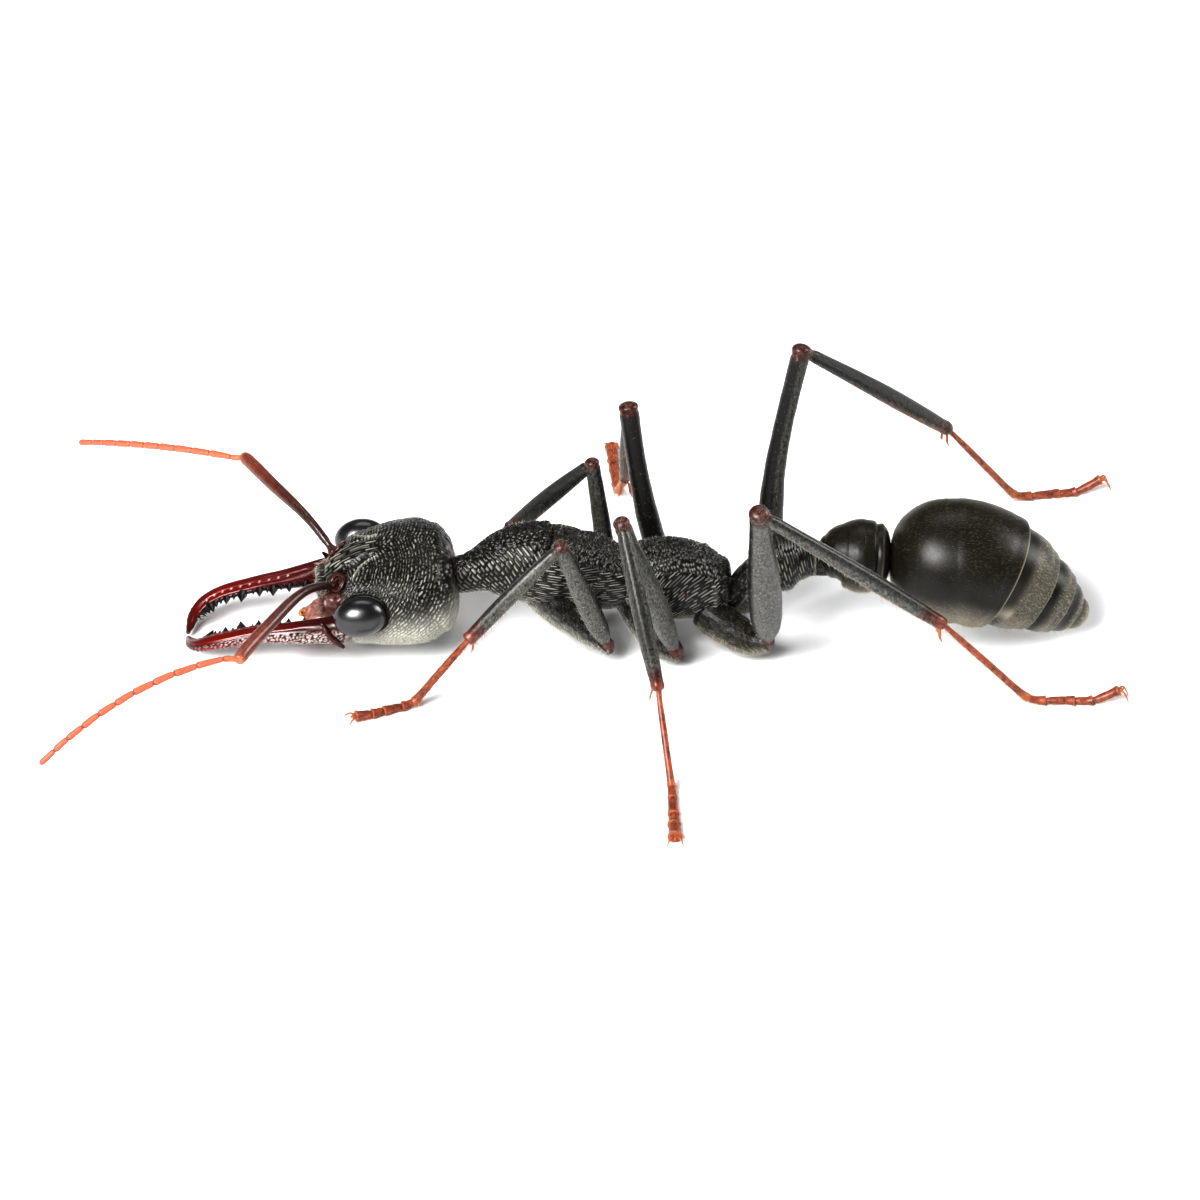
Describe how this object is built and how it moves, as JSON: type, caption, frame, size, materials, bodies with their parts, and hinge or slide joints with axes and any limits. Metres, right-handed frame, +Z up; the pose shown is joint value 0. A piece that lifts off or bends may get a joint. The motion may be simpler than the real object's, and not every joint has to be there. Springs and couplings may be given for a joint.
{
  "type": "bull ant worker model",
  "caption": "Life-size standing bull ant worker with long toothed jaws, large eyes, elbowed feelers, a two-knobbed waist, an oval gaster and slender bent legs resting on flat feet.",
  "frame": {"origin": "the middle of the bottom of the ant's box, on the floor that its feet stand on", "axes": "-X towards the jaws and +X towards the tail, -Y to the ant's left and +Y to its right, +Z up"},
  "size_m": [0.0288, 0.018, 0.0076],
  "materials": {
    "cuticle": "dark grey-black body shell, finely ridged and netted, satin",
    "gaster": "smooth black shell under fine golden-olive down, glossy",
    "leg": "grey-brown leg shell with fine pale hairs, reddish at the joints",
    "foot": "orange-red foot joints with short bristles",
    "jaw": "deep dark red, polished, with black teeth",
    "mouth": "red-brown, satin",
    "scape": "red-brown, orange at the tip, with fine hairs",
    "flagellum": "orange-pink ringed joints, dull",
    "eye": "black, very finely faceted, glossy"
  },
  "bodies": {
    "root": {"head": "cuticle", "eye_left": "eye", "eye_right": "eye", "mandible_left": "jaw", "mandible_right": "jaw", "mouthparts": "mouth", "antenna_scape_left": "scape", "antenna_flagellum_left": "flagellum", "antenna_scape_right": "scape", "antenna_flagellum_right": "flagellum", "pronotum": "cuticle", "mesothorax": "cuticle", "propodeum": "cuticle", "petiole": "cuticle", "postpetiole": "gaster", "gaster_1": "gaster", "gaster_2": "gaster", "gaster_3": "gaster", "gaster_4": "gaster", "foreleg_left_coxa": "cuticle", "foreleg_left_femur": "leg", "foreleg_left_tibia": "leg", "foreleg_left_tarsus": "foot", "foreleg_right_coxa": "cuticle", "foreleg_right_femur": "leg", "foreleg_right_tibia": "leg", "foreleg_right_tarsus": "foot", "midleg_left_coxa": "cuticle", "midleg_left_femur": "leg", "midleg_left_tibia": "leg", "midleg_left_tarsus": "foot", "midleg_right_coxa": "cuticle", "midleg_right_femur": "leg", "midleg_right_tibia": "leg", "midleg_right_tarsus": "foot", "hindleg_left_coxa": "cuticle", "hindleg_left_femur": "leg", "hindleg_left_tibia": "leg", "hindleg_left_tarsus": "foot", "hindleg_right_coxa": "cuticle", "hindleg_right_femur": "leg", "hindleg_right_tibia": "leg", "hindleg_right_tarsus": "foot"}
  },
  "joints": []
}
